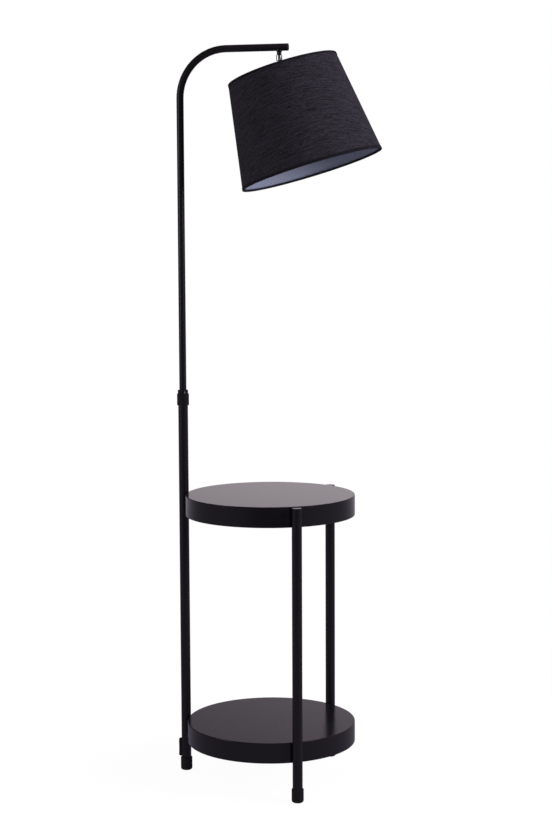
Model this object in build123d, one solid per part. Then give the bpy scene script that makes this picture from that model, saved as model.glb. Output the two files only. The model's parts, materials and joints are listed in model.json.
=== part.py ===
from build123d import *
import os
from math import cos, radians, sin, sqrt, tan

# Floor lamp with a round two-tier table, in millimetres.
# The origin is on the floor under the pole's axis. +Z is up, and +X runs from the
# pole to the middle of the table, which is also the way the arm points at rest.

# Table
TABLE_TOP = 648.0
SHELF_TOP = 130.0
TRAY_DIA = 380.0
PAN_DEPTH = 45.0
PAN_SHEET = 1.2
PAN_EDGE_RADIUS = 1.6
PAN_LIP = 5.0

# Pole and legs
LEG_DIA = 22.0
LEG_WALL = 1.5
POLE_TOP = 856.0
LEG_DROP = 1.5
PLUG_HEAD = 2.5
PLUG_EDGE = 0.6
PLUG_DEPTH = 12.0
PLUG_WALL = 1.6

# Feet
FOOT_HEIGHT = 30.0
FOOT_WALL = 2.25
FOOT_SOLE = 4.0
FOOT_ROUND = 5.0
FOOT_TOP_ROUND = 1.2

# Screws and rivet nuts that hold the pans between the legs
SCREW_DIA = 5.0
SCREW_LENGTH = 8.0
SCREW_HEAD_DIA = 9.0
SCREW_HEAD = 2.6
SCREW_KEY = 3.0
RIVET_FLANGE = 0.5
RIVET_FLANGE_DIA = 11.0
RIVET_DIA = 7.0
RIVET_BODY = 5.0

# Lead inside the tubes and its outlet on the pole
FLEX_DIA = 5.5
FLEX_BEND = 8.0
OUTLET_GAP = 1.5
OUTLET_TALL = 42.0
OUTLET_WIDE = 14.0
OUTLET_PROUD = 5.5
OUTLET_EDGE = 1.6
OUTLET_DISH = 0.9
OUTLET_SPIGOT_DIA = 10.0

# Twist collar and the split bush that it squeezes
BUSH_DEPTH = 40.0
BUSH_FLANGE = 2.0
BUSH_NECK_DIA = 20.0
BUSH_NECK = 9.0
BUSH_FINGERS = 10.5
BUSH_TIP_WALL = 0.9
BUSH_SLOTS = 4
BUSH_SLOT = 1.2
COLLAR_OVERLAP = 11.5
COLLAR_DIA = 27.0
COLLAR_BODY = 26.0
COLLAR_NOSE = 8.5
COLLAR_NOSE_BASE_DIA = 23.4
COLLAR_NOSE_DIA = 23.0
COLLAR_ROUND = 0.8
COLLAR_NOSE_ROUND = 1.0
NOSE_WINDOWS = 3
NOSE_WINDOW_WIDE = 3.2
NOSE_WINDOW_TALL = 5.8
NOSE_WINDOW_TURN = 312.5

# Mast and arm
MAST_DIA = 16.0
MAST_WALL = 1.2
ARM_HEIGHT = 1634.0
ARM_REACH = 247.0
BEND_RADIUS = 106.0
ARM_CAP_HEAD = 2.0
ARM_CAP_DEPTH = 10.0
ARM_CAP_EDGE = 0.5
STOP_RING = 8.0
GUIDE_BUSH = 25.0
GUIDE_FLUTES = 3
GUIDE_FLUTE_RADIUS = 1.0
GROMMET_FLANGE = 3.0
GROMMET_DEPTH = 10.0

# Ball swivel under the arm
STUB_INSET = 20.5
STUB_LENGTH = 9.0
STUB_DIA = 10.4
STUB_FLARE_DIA = 13.0
STUB_FLARE = 2.5
SPIGOT_DIA = 8.0
SPIGOT_LENGTH = 4.0
CUP_DIA = 13.4
CUP_ABOVE = 9.0
CUP_BELOW = 3.2
CUP_TAPER = 0.9
CUP_MOUTH_ANGLE = 63.0
CUP_SLIT = 2.2
CUP_SLIT_TURN = 14.0
BALL_DIA = 10.0
BALL_BORE = 3.6
SEAT_WALL = 0.5
SEAT_MOUTH_ANGLE = 60.0
SEAT_CROWN_ANGLE = 40.0
NECK_DIA = 5.2
NECK_LENGTH = 10.0
STEM_DIA = 10.0
STEM_LENGTH = 9.0

# Lamp holder, with depths measured down the shade's axis from the ball's centre
HOLDER_TOP = 13.0
CAP_BOSS_DIA = 17.0
CAP_BOSS = 5.0
CAP_DOME = 10.0
CAP_RIM = 5.0
HOLDER_WALL = 2.0
HOLDER_DIA = 39.6
HOLDER_FLANGE_DIA = 46.0
HOLDER_FLANGE = 2.5
HOLDER_SKIRT = 37.5
HOLDER_MOUTH_DIA = 29.5
HOLDER_LIP = 1.5
CORE_HEIGHT = 12.0
CORE_DROP = 3.0
SHELL_BORE = 26.6
SHELL_WALL = 0.6
SHELL_LENGTH = 22.0
CONTACT_WIDE = 5.0
CONTACT_THICK = 0.6
CONTACT_REACH = 9.0
CONTACT_RISE = 3.5

# Shade
SHADE_TILT = 16.9
SHADE_DROP = 22.2
SHADE_TOP_DIA = 246.2
SHADE_BOTTOM_DIA = 318.6
SHADE_HEIGHT = 229.2
COVER_THICK = 0.8
LINING_THICK = 0.5
WIRE_DIA = 3.0
BINDING = 0.5
TOP_BINDING_WIDE = 4.5
BOTTOM_BINDING_WIDE = 6.0
BINDING_TURN_IN = 4.2
WASHER_MARGIN = 5.0
WASHER_THICK = 1.5
SPOKES = 3
NUT_DIA = 54.0
NUT_HEIGHT = 8.0
NUT_GRIPS = 18
NUT_GRIP_RADIUS = 1.4

# Clearances
RUNNING = 0.08
LOOSE = 0.3
HOLE_EASE = 0.25

# Places worked out from the sizes above
UP = (Align.CENTER, Align.CENTER, Align.MIN)
DOWN = (Align.CENTER, Align.CENTER, Align.MAX)
LEG_RADIUS = LEG_DIA / 2
LEG_BORE = LEG_RADIUS - LEG_WALL
MAST_RADIUS = MAST_DIA / 2
MAST_BORE = MAST_RADIUS - MAST_WALL
TRAY_RADIUS = TRAY_DIA / 2
FLEX_RADIUS = FLEX_DIA / 2
LEG_CIRCLE = TRAY_RADIUS + RIVET_FLANGE + LEG_RADIUS
LEG_ANGLES = {"pole": 180.0, "front": 300.0, "rear": 60.0}
PAN_TOPS = (TABLE_TOP, SHELF_TOP)
LEG_TOP = TABLE_TOP - LEG_DROP
OUTLET_HEIGHT = FOOT_HEIGHT + OUTLET_GAP + OUTLET_TALL / 2
COLLAR_BOTTOM = POLE_TOP - COLLAR_OVERLAP
NECK_BOTTOM = POLE_TOP + BUSH_FLANGE
NECK_TOP = NECK_BOTTOM + BUSH_NECK
FINGER_TOP = NECK_TOP + BUSH_FINGERS
BUSH_BOTTOM = POLE_TOP - BUSH_DEPTH
STOP_BOTTOM = BUSH_BOTTOM - LOOSE - STOP_RING
GUIDE_BOTTOM = STOP_BOTTOM - LOOSE - GUIDE_BUSH
MAST_BOTTOM = GUIDE_BOTTOM - LOOSE
GROMMET_BOTTOM = MAST_BOTTOM - GROMMET_FLANGE
HANG_X = ARM_REACH - STUB_INSET
STUB_BOTTOM = ARM_HEIGHT - MAST_RADIUS - STUB_LENGTH
PIVOT_HEIGHT = STUB_BOTTOM - CUP_ABOVE
BALL_RADIUS = BALL_DIA / 2
SEAT_BORE = BALL_RADIUS + RUNNING
SEAT_RADIUS = SEAT_BORE + SEAT_WALL
CUP_CAVITY = SEAT_RADIUS + RUNNING
CAP_BOTTOM = HOLDER_TOP + CAP_BOSS + CAP_DOME + CAP_RIM
SKIRT_TOP = CAP_BOTTOM
FLANGE_BOTTOM = SKIRT_TOP + HOLDER_FLANGE
SKIRT_BOTTOM = FLANGE_BOTTOM + HOLDER_SKIRT
CORE_TOP = SKIRT_TOP + CORE_DROP
CORE_BOTTOM = CORE_TOP + CORE_HEIGHT
CONTACT_SEAT = CORE_BOTTOM - CONTACT_RISE - CONTACT_THICK - LOOSE
WASHER_TOP = FLANGE_BOTTOM
WASHER_RADIUS = HOLDER_FLANGE_DIA / 2 + WASHER_MARGIN
NUT_TOP = WASHER_TOP + WASHER_THICK
SHADE_BOTTOM = SHADE_DROP + SHADE_HEIGHT
SHADE_SLOPE = (SHADE_BOTTOM_DIA - SHADE_TOP_DIA) / 2 / SHADE_HEIGHT
INNER_FACE = COVER_THICK + LINING_THICK
WIRE_RADIUS = WIRE_DIA / 2
FRAME_DROP = SHADE_DROP + BINDING + WIRE_RADIUS
FRAME_RISE = SHADE_BOTTOM - BINDING - WIRE_RADIUS


def tube(outer, bore, bottom, top):
    """Upright tube between two heights."""
    body = Cylinder(outer, top - bottom, align=UP) - Cylinder(bore, top - bottom, align=UP)
    return Pos(0, 0, bottom) * body


def turned(points):
    """Solid turned about Z from a closed outline of (radius, height) points."""
    outline = Polyline(*[(radius, 0, height) for radius, height in points], close=True)
    return revolve(make_face(outline), Axis.Z)


def hung(points):
    """Solid turned about the shade's axis from (radius, depth below the ball) points."""
    return turned([(radius, -depth) for radius, depth in points])


def rims(part, radius, height):
    """Round edges of a turned part at one radius and height."""
    edges = part.edges().filter_by(GeomType.CIRCLE)
    return edges.filter_by(
        lambda edge: abs(edge.radius - radius) < 1e-4 and abs(edge.arc_center.Z - height) < 1e-4
    )


def leg_place(name):
    """Foot of a leg's axis on the floor."""
    angle = radians(LEG_ANGLES[name])
    return Pos(LEG_CIRCLE * (1 + cos(angle)), LEG_CIRCLE * sin(angle), 0)


def fixings():
    """Frames of the pan screws: on the pan's outer wall, local Z into the leg."""
    for top in PAN_TOPS:
        for angle in LEG_ANGLES.values():
            middle = Pos(LEG_CIRCLE, 0, top - PAN_DEPTH / 2) * Rot(0, 0, angle)
            yield middle * Pos(TRAY_RADIUS, 0, 0) * Rot(0, 90, 0)


def drill(part, radius, depth):
    """Cut a hole of one radius at every pan screw, to a depth on both sides."""
    for place in fixings():
        part -= place * Cylinder(radius, 2 * depth)
    return part


def pan(top):
    """Inverted pressed-steel pan: flat top, deep wall, lip turned in along its lower edge."""
    outside = Cylinder(TRAY_RADIUS, PAN_DEPTH, align=DOWN)
    outside = fillet(rims(outside, TRAY_RADIUS, 0), PAN_EDGE_RADIUS)
    bore = TRAY_RADIUS - PAN_SHEET
    inside = Cylinder(bore, PAN_DEPTH - 2 * PAN_SHEET, align=DOWN)
    inside = fillet(rims(inside, bore, 0), PAN_EDGE_RADIUS - PAN_SHEET)
    mouth = Cylinder(bore - PAN_LIP, PAN_DEPTH, align=DOWN)
    mouth = Pos(0, 0, -PAN_DEPTH / 2) * mouth
    shell = outside - Pos(0, 0, -PAN_SHEET) * inside - mouth
    shell = Pos(LEG_CIRCLE, 0, top) * shell
    return drill(shell, SCREW_DIA / 2 + HOLE_EASE, 2 * PAN_SHEET)


def leg(name, top):
    """Leg tube with holes for its rivet nuts."""
    wall = leg_place(name) * tube(LEG_RADIUS, LEG_BORE, FOOT_SOLE, top)
    return drill(wall, RIVET_DIA / 2 + RUNNING, LEG_RADIUS)


def pole():
    """The leg that goes on up to the collar, with a hole for the lead's outlet."""
    wall = leg("pole", POLE_TOP)
    hole = Cylinder(OUTLET_SPIGOT_DIA / 2 + RUNNING, LEG_DIA, align=UP)
    return wall - Pos(0, 0, OUTLET_HEIGHT) * Rot(0, -90, 0) * hole


def foot(name):
    """Slip-on cap with a rounded sole."""
    radius = LEG_RADIUS + FOOT_WALL
    cap = Cylinder(radius, FOOT_HEIGHT, align=UP)
    cap = fillet(rims(cap, radius, 0), FOOT_ROUND)
    cap = fillet(rims(cap, radius, FOOT_HEIGHT), FOOT_TOP_ROUND)
    cap -= Pos(0, 0, FOOT_SOLE) * Cylinder(LEG_RADIUS, FOOT_HEIGHT, align=UP)
    return leg_place(name) * cap


def leg_plug(name):
    """Flat plug in a leg's top, a little below the tray's top."""
    head = Cylinder(LEG_RADIUS, PLUG_HEAD, align=DOWN)
    head = chamfer(rims(head, LEG_RADIUS, 0), PLUG_EDGE)
    spigot = Cylinder(LEG_BORE, PLUG_DEPTH, align=DOWN)
    spigot -= Cylinder(LEG_BORE - PLUG_WALL, PLUG_DEPTH, align=DOWN)
    plug = head + Pos(0, 0, -PLUG_HEAD) * spigot
    return leg_place(name) * Pos(0, 0, LEG_TOP) * plug


def pan_screws():
    """Button-head screws, one at each pan fixing."""
    bore = TRAY_RADIUS - PAN_SHEET
    head_radius = SCREW_HEAD_DIA / 2
    seat = bore - sqrt(bore**2 - head_radius**2)
    head = Cylinder(head_radius, SCREW_HEAD, align=DOWN)
    head = fillet(rims(head, head_radius, -SCREW_HEAD), SCREW_HEAD / 2)
    key = extrude(RegularPolygon(SCREW_KEY / 2, 6, major_radius=False), SCREW_HEAD / 2)
    screw = head + Cylinder(SCREW_DIA / 2, SCREW_LENGTH, align=UP)
    screw -= Pos(0, 0, -SCREW_HEAD) * key
    return Compound([place * Pos(0, 0, -PAN_SHEET - seat) * screw for place in fixings()])


def rivet_nuts():
    """Rivet nuts in the legs, whose thin flanges the pans sit against."""
    nut = Cylinder(RIVET_FLANGE_DIA / 2, RIVET_FLANGE, align=UP)
    nut += Cylinder(RIVET_DIA / 2, RIVET_FLANGE + RIVET_BODY, align=UP)
    nut -= Cylinder(SCREW_DIA / 2 + RUNNING, RIVET_FLANGE + RIVET_BODY, align=UP)
    return Compound([place * nut for place in fixings()])


def cord_outlet():
    """Dished bezel on the back of the pole, with a spigot through the tube's wall."""
    face = LEG_RADIUS + OUTLET_PROUD
    plate = extrude(RectangleRounded(OUTLET_TALL, OUTLET_WIDE, OUTLET_WIDE / 2 - OUTLET_EDGE / 4), face)
    plate = fillet(plate.edges().group_by(Axis.Z)[-1], OUTLET_EDGE)
    dish_radius = ((OUTLET_TALL / 2) ** 2 + OUTLET_DISH**2) / (2 * OUTLET_DISH)
    plate -= Pos(0, 0, face - OUTLET_DISH + dish_radius) * Rot(90, 0, 0) * Cylinder(dish_radius, LEG_DIA)
    plate -= Rot(0, 90, 0) * Cylinder(LEG_RADIUS, OUTLET_TALL)
    spigot = Cylinder(OUTLET_SPIGOT_DIA / 2, LEG_RADIUS + OUTLET_PROUD / 2, align=UP)
    spigot -= Rot(0, 90, 0) * Cylinder(LEG_BORE, OUTLET_TALL)
    bore = Cylinder(FLEX_RADIUS + HOLE_EASE, face, align=UP)
    return Pos(0, 0, OUTLET_HEIGHT) * Rot(0, -90, 0) * (plate + spigot - bore)


def clamp_bush():
    """Split bush in the pole's top: sleeve, flange, neck and tapered fingers."""
    bore = MAST_RADIUS + RUNNING
    neck = BUSH_NECK_DIA / 2
    bush = turned([
        (bore, BUSH_BOTTOM),
        (LEG_BORE, BUSH_BOTTOM),
        (LEG_BORE, POLE_TOP),
        (LEG_RADIUS, POLE_TOP),
        (LEG_RADIUS, NECK_BOTTOM),
        (neck, NECK_BOTTOM),
        (neck, NECK_TOP),
        (bore + BUSH_TIP_WALL, FINGER_TOP),
        (bore, FINGER_TOP),
    ])
    slot = Box(BUSH_SLOT, LEG_DIA, BUSH_FINGERS, align=(Align.CENTER, Align.MIN, Align.MIN))
    for place in PolarLocations(0, BUSH_SLOTS):
        bush -= Pos(0, 0, NECK_TOP) * place * slot
    return bush


def twist_collar():
    """Clamp nut over the pole's end: plain body, nose with windows, bore cut to the bush."""
    body = COLLAR_DIA / 2
    shoulder = COLLAR_BOTTOM + COLLAR_BODY
    top = shoulder + COLLAR_NOSE
    neck = BUSH_NECK_DIA / 2 + LOOSE
    bore = MAST_RADIUS + LOOSE
    collar = turned([
        (LEG_RADIUS + LOOSE, COLLAR_BOTTOM),
        (body, COLLAR_BOTTOM),
        (body, shoulder),
        (COLLAR_NOSE_BASE_DIA / 2, shoulder),
        (COLLAR_NOSE_DIA / 2, top),
        (bore, top),
        (bore, FINGER_TOP + LOOSE),
        (bore + BUSH_TIP_WALL, FINGER_TOP + LOOSE),
        (neck, NECK_TOP + LOOSE),
        (neck, NECK_BOTTOM + LOOSE),
        (LEG_RADIUS + LOOSE, NECK_BOTTOM + LOOSE),
    ])
    edges = rims(collar, body, COLLAR_BOTTOM) + rims(collar, body, shoulder)
    collar = fillet(edges, COLLAR_ROUND)
    collar = fillet(rims(collar, COLLAR_NOSE_DIA / 2, top), COLLAR_NOSE_ROUND)
    window = Box(COLLAR_DIA, NOSE_WINDOW_WIDE, NOSE_WINDOW_TALL, align=(Align.MIN, Align.CENTER, Align.CENTER))
    for place in PolarLocations(0, NOSE_WINDOWS, NOSE_WINDOW_TURN):
        collar -= Pos(0, 0, (shoulder + top) / 2) * place * window
    return collar


def mast_path(bottom, reach):
    """Centre line up the mast, round the bend and out along the arm."""
    return FilletPolyline((0, 0, bottom), (0, 0, ARM_HEIGHT), (reach, 0, ARM_HEIGHT), radius=BEND_RADIUS)


def mast_tube():
    """Bent tube, upright and arm in one, with a hole under the arm for the lead."""
    path = mast_path(MAST_BOTTOM, ARM_REACH - ARM_CAP_HEAD)
    start = Plane((0, 0, MAST_BOTTOM))
    body = sweep(start * Circle(MAST_RADIUS), path) - sweep(start * Circle(MAST_BORE), path)
    hole = Cylinder(FLEX_RADIUS + LOOSE, MAST_DIA, align=DOWN)
    return body - Pos(HANG_X, 0, ARM_HEIGHT) * hole


def arm_cap():
    """End cap of the arm."""
    cap = Cylinder(MAST_RADIUS, ARM_CAP_HEAD, align=DOWN)
    cap = chamfer(rims(cap, MAST_RADIUS, 0), ARM_CAP_EDGE)
    cap += Pos(0, 0, -ARM_CAP_HEAD) * Cylinder(MAST_BORE, ARM_CAP_DEPTH, align=DOWN)
    return Pos(ARM_REACH, 0, ARM_HEIGHT) * Rot(0, 90, 0) * cap


def stop_ring():
    """Ring fixed on the mast, too wide to pass the clamp bush."""
    return tube(LEG_BORE - LOOSE, MAST_RADIUS, STOP_BOTTOM, STOP_BOTTOM + STOP_RING)


def guide_bush():
    """Fluted bush that guides the mast's foot in the pole and lets the mast turn in it."""
    outer = LEG_BORE - RUNNING
    bush = tube(outer, MAST_RADIUS + RUNNING, GUIDE_BOTTOM, GUIDE_BOTTOM + GUIDE_BUSH)
    flute = Pos(0, 0, GUIDE_BOTTOM) * Cylinder(GUIDE_FLUTE_RADIUS, GUIDE_BUSH, align=UP)
    for place in PolarLocations(outer, GUIDE_FLUTES):
        bush -= place * flute
    return bush


def mast_grommet():
    """End grommet in the mast's foot, which carries the lead."""
    bore = FLEX_RADIUS + RUNNING
    flange = tube(LEG_BORE - LOOSE, bore, GROMMET_BOTTOM, MAST_BOTTOM)
    return flange + tube(MAST_BORE, bore, MAST_BOTTOM, MAST_BOTTOM + GROMMET_DEPTH)


def flex_lower():
    """Lead from its outlet up the pole to the mast's foot."""
    outlet = -LEG_RADIUS - OUTLET_PROUD / 2
    path = FilletPolyline(
        (outlet, 0, OUTLET_HEIGHT), (0, 0, OUTLET_HEIGHT), (0, 0, GROMMET_BOTTOM), radius=FLEX_BEND
    )
    start = Plane((outlet, 0, OUTLET_HEIGHT), z_dir=(1, 0, 0))
    return sweep(start * Circle(FLEX_RADIUS), path)


def flex_upper():
    """Lead up the mast, along the arm and down into the stub."""
    end = STUB_BOTTOM + SPIGOT_LENGTH
    path = FilletPolyline(
        (0, 0, GROMMET_BOTTOM), (0, 0, ARM_HEIGHT), (HANG_X, 0, ARM_HEIGHT), (HANG_X, 0, end),
        radius=[BEND_RADIUS, FLEX_DIA],
    )
    return sweep(Plane((0, 0, GROMMET_BOTTOM)) * Circle(FLEX_RADIUS), path)


def hang_stub():
    """Stub under the arm, flared where it meets the tube."""
    saddle = ARM_HEIGHT - MAST_RADIUS
    body = STUB_DIA / 2
    flare = STUB_FLARE_DIA / 2
    stub = turned([
        (0, STUB_BOTTOM),
        (body, STUB_BOTTOM),
        (body, saddle - STUB_FLARE),
        (flare, saddle),
        (flare, ARM_HEIGHT),
        (0, ARM_HEIGHT),
    ])
    stub -= Pos(0, 0, STUB_BOTTOM) * Cylinder(FLEX_RADIUS + HOLE_EASE, ARM_HEIGHT - STUB_BOTTOM, align=UP)
    stub -= Pos(0, 0, STUB_BOTTOM) * Cylinder(SPIGOT_DIA / 2, SPIGOT_LENGTH, align=UP)
    stub -= Pos(0, 0, ARM_HEIGHT) * Rot(0, 90, 0) * Cylinder(MAST_RADIUS, STUB_FLARE_DIA * 2)
    return Pos(HANG_X, 0, 0) * stub


def at_pivot(part):
    """Set a piece built round the ball's centre in its place under the arm."""
    return Pos(HANG_X, 0, PIVOT_HEIGHT) * part


def swivel_cup():
    """Split cup of the ball swivel, whose two jaws grip the seat round the ball."""
    outer = CUP_DIA / 2
    spigot = SPIGOT_DIA / 2
    cup = turned([
        (0, -CUP_BELOW),
        (outer - CUP_TAPER, -CUP_BELOW),
        (outer, -CUP_BELOW + CUP_TAPER),
        (outer, CUP_ABOVE - CUP_TAPER),
        (outer - CUP_TAPER, CUP_ABOVE),
        (spigot, CUP_ABOVE),
        (spigot, CUP_ABOVE + SPIGOT_LENGTH),
        (0, CUP_ABOVE + SPIGOT_LENGTH),
    ])
    cup -= Sphere(CUP_CAVITY)
    mouth = CUP_DIA * tan(radians(CUP_MOUTH_ANGLE))
    cup -= Cone(mouth, 0, CUP_DIA, align=DOWN)
    cup -= Cylinder(BALL_BORE / 2, CUP_ABOVE + SPIGOT_LENGTH, align=UP)
    slit = Box(CUP_SLIT, CUP_DIA, CUP_BELOW + CUP_CAVITY / 2, align=UP)
    cup -= Rot(0, 0, CUP_SLIT_TURN) * Pos(0, 0, -CUP_BELOW) * slit
    return at_pivot(cup)


def ball_seat():
    """Friction seat, a zone of a hollow sphere between cup and ball."""
    seat = Sphere(SEAT_RADIUS) - Sphere(SEAT_BORE)
    seat -= Cone(SEAT_RADIUS * 2 * tan(radians(SEAT_MOUTH_ANGLE)), 0, SEAT_RADIUS * 2, align=DOWN)
    seat -= Cone(0, SEAT_RADIUS * 2 * tan(radians(SEAT_CROWN_ANGLE)), SEAT_RADIUS * 2, align=UP)
    return at_pivot(seat)


def swivel_ball():
    """Ball with its neck and hollow threaded stem."""
    stem_end = NECK_LENGTH + STEM_LENGTH
    ball = Sphere(BALL_RADIUS) + Cylinder(NECK_DIA / 2, stem_end, align=DOWN)
    ball += Pos(0, 0, -NECK_LENGTH) * Cylinder(STEM_DIA / 2, STEM_LENGTH, align=DOWN)
    return ball - Cylinder(BALL_BORE / 2, 2 * stem_end)


def holder_cap():
    """Domed cap of the lamp holder, screwed on the swivel's stem."""
    boss = CAP_BOSS_DIA / 2
    rim = HOLDER_FLANGE_DIA / 2
    boss_end = HOLDER_TOP + CAP_BOSS
    dome_end = boss_end + CAP_DOME
    stem = STEM_DIA / 2
    cap = hung([
        (stem, HOLDER_TOP),
        (boss, HOLDER_TOP),
        (boss, boss_end),
        (rim, dome_end),
        (rim, CAP_BOTTOM),
        (rim - HOLDER_WALL, CAP_BOTTOM),
        (rim - HOLDER_WALL, dome_end + HOLDER_WALL),
        (boss, boss_end + HOLDER_WALL),
        (stem, boss_end + HOLDER_WALL),
    ])
    return fillet(rims(cap, rim, -dome_end), CAP_RIM / 2)


def holder_body():
    """Skirt of the lamp holder with the flange that the shade hangs on."""
    outer = HOLDER_DIA / 2
    bore = outer - HOLDER_WALL
    mouth = HOLDER_MOUTH_DIA / 2
    return hung([
        (bore, SKIRT_TOP),
        (HOLDER_FLANGE_DIA / 2, SKIRT_TOP),
        (HOLDER_FLANGE_DIA / 2, FLANGE_BOTTOM),
        (outer, FLANGE_BOTTOM),
        (outer, SKIRT_BOTTOM),
        (mouth, SKIRT_BOTTOM),
        (mouth, SKIRT_BOTTOM - HOLDER_LIP),
        (bore, SKIRT_BOTTOM - HOLDER_LIP),
    ])


def holder_core():
    """Insert that carries the holder's contacts, with a groove for the centre one."""
    core = Pos(0, 0, -CORE_TOP) * Cylinder(HOLDER_DIA / 2 - HOLDER_WALL, CORE_HEIGHT, align=DOWN)
    groove = Box(2 * (CONTACT_REACH + LOOSE), CONTACT_WIDE + 2 * LOOSE, CORE_BOTTOM - CONTACT_SEAT, align=DOWN)
    return core - Pos(0, 0, -CONTACT_SEAT) * groove


def screw_shell():
    """Screw shell of the lamp holder, seated on the core."""
    bore = SHELL_BORE / 2
    return tube(bore + SHELL_WALL, bore, -CORE_BOTTOM - SHELL_LENGTH, -CORE_BOTTOM)


def centre_contact():
    """Sprung strip in the core's groove, shown as a bulb's cap presses it down."""
    strip = Polyline(
        (-CONTACT_REACH, 0, -CONTACT_SEAT),
        (0, 0, -CONTACT_SEAT),
        (CONTACT_REACH, 0, -CONTACT_SEAT - CONTACT_RISE),
        (CONTACT_REACH, 0, -CONTACT_SEAT - CONTACT_RISE - CONTACT_THICK),
        (0, 0, -CONTACT_SEAT - CONTACT_THICK),
        (-CONTACT_REACH, 0, -CONTACT_SEAT - CONTACT_THICK),
        close=True,
    )
    return extrude(make_face(strip), CONTACT_WIDE / 2, both=True)


def shade_nut():
    """Ring nut with a gripped edge, which clamps the shade's washer under the flange."""
    radius = NUT_DIA / 2
    bottom = -NUT_TOP - NUT_HEIGHT
    nut = tube(radius, HOLDER_DIA / 2 + RUNNING, bottom, -NUT_TOP)
    grip = Pos(0, 0, bottom) * Cylinder(NUT_GRIP_RADIUS, NUT_HEIGHT, align=UP)
    for place in PolarLocations(radius + NUT_GRIP_RADIUS / 2, NUT_GRIPS):
        nut -= place * grip
    return nut


def shade_radius(depth):
    """Outer radius of the shade's cover at a depth below the ball."""
    return SHADE_TOP_DIA / 2 + (depth - SHADE_DROP) * SHADE_SLOPE


def shade_layer(outside, inside):
    """Conical layer of the shade between two depths into its wall."""
    top = shade_radius(SHADE_DROP)
    bottom = shade_radius(SHADE_BOTTOM)
    return hung([
        (top - outside, SHADE_DROP),
        (bottom - outside, SHADE_BOTTOM),
        (bottom - inside, SHADE_BOTTOM),
        (top - inside, SHADE_DROP),
    ])


def ring_radius(depth):
    """Centre radius of a wire ring that lies against the lining."""
    return shade_radius(depth) - INNER_FACE - WIRE_RADIUS - LOOSE / 2


def wire_ring(depth):
    """Wire ring inside a rim of the shade."""
    return Pos(0, 0, -depth) * Torus(ring_radius(depth), WIRE_RADIUS)


def spokes(radius):
    """Spokes from the spider's washer up to the top ring."""
    start = Vector(HOLDER_FLANGE_DIA / 2 + WIRE_RADIUS + LOOSE, 0, -WASHER_TOP - WASHER_THICK / 2)
    along = Vector(ring_radius(FRAME_DROP), 0, -FRAME_DROP) - start
    spoke = Plane(start, z_dir=along) * Cylinder(radius, along.length, align=UP)
    return [Rot(0, 0, turn * 360 / SPOKES) * spoke for turn in range(SPOKES)]


def shade_spider():
    """Welded wire frame: washer round the holder, spokes and the top rim's ring."""
    washer = tube(
        WASHER_RADIUS, HOLDER_DIA / 2 + HOLE_EASE, -WASHER_TOP - WASHER_THICK, -WASHER_TOP
    )
    clear_of_nut = tube(NUT_DIA / 2 + LOOSE, HOLDER_DIA / 2, -NUT_TOP - NUT_HEIGHT, -NUT_TOP)
    frame = washer + wire_ring(FRAME_DROP)
    for spoke in spokes(WIRE_RADIUS):
        frame += spoke - clear_of_nut
    return frame


def binding(rim, wide, side):
    """Strip folded over a rim: outer leg, edge and an inner leg behind the wire ring."""
    edge = rim + side * BINDING
    hem = rim - side * wide
    inner_hem = rim - side * BINDING_TURN_IN
    tuck = INNER_FACE + WIRE_DIA + LOOSE
    return hung([
        (shade_radius(rim) - tuck - BINDING, edge),
        (shade_radius(rim) + BINDING, edge),
        (shade_radius(hem) + BINDING, hem),
        (shade_radius(hem), hem),
        (shade_radius(rim), rim),
        (shade_radius(rim) - tuck, rim),
        (shade_radius(inner_hem) - tuck, inner_hem),
        (shade_radius(inner_hem) - tuck - BINDING, inner_hem),
    ])


def top_binding():
    """Binding of the top rim, slit where the spokes pass."""
    strip = binding(SHADE_DROP, TOP_BINDING_WIDE, -1)
    for spoke in spokes(WIRE_RADIUS + LOOSE):
        strip -= spoke
    return strip


def on_head(part):
    """Tilt a piece of the head with the shade and hang it at the ball."""
    return at_pivot(Rot(0, -SHADE_TILT, 0) * part)


PARTS = {
    "pole": pole(),
    "front_leg": leg("front", LEG_TOP - PLUG_HEAD),
    "rear_leg": leg("rear", LEG_TOP - PLUG_HEAD),
    "pole_foot": foot("pole"),
    "front_foot": foot("front"),
    "rear_foot": foot("rear"),
    "front_leg_plug": leg_plug("front"),
    "rear_leg_plug": leg_plug("rear"),
    "tray": pan(TABLE_TOP),
    "shelf": pan(SHELF_TOP),
    "pan_screws": pan_screws(),
    "rivet_nuts": rivet_nuts(),
    "cord_outlet": cord_outlet(),
    "flex_lower": flex_lower(),
    "clamp_bush": clamp_bush(),
    "twist_collar": twist_collar(),
    "guide_bush": guide_bush(),
    "mast_tube": mast_tube(),
    "stop_ring": stop_ring(),
    "mast_grommet": mast_grommet(),
    "arm_cap": arm_cap(),
    "flex_upper": flex_upper(),
    "hang_stub": hang_stub(),
    "swivel_cup": swivel_cup(),
    "ball_seat": ball_seat(),
    "swivel_ball": on_head(swivel_ball()),
    "holder_cap": on_head(holder_cap()),
    "holder_body": on_head(holder_body()),
    "holder_core": on_head(holder_core()),
    "screw_shell": on_head(screw_shell()),
    "centre_contact": on_head(centre_contact()),
    "shade_nut": on_head(shade_nut()),
    "shade_spider": on_head(shade_spider()),
    "bottom_ring": on_head(wire_ring(FRAME_RISE)),
    "shade_cover": on_head(shade_layer(0, COVER_THICK)),
    "shade_lining": on_head(shade_layer(COVER_THICK, INNER_FACE)),
    "top_binding": on_head(top_binding()),
    "bottom_binding": on_head(binding(SHADE_BOTTOM, BOTTOM_BINDING_WIDE, 1)),
}

os.makedirs("parts", exist_ok=True)
for name, part in PARTS.items():
    export_step(part, f"parts/{name}.step")
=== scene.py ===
import json
from math import cos, pi, radians, sin

import bpy
import numpy as np
from mathutils import Matrix, Vector


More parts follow.
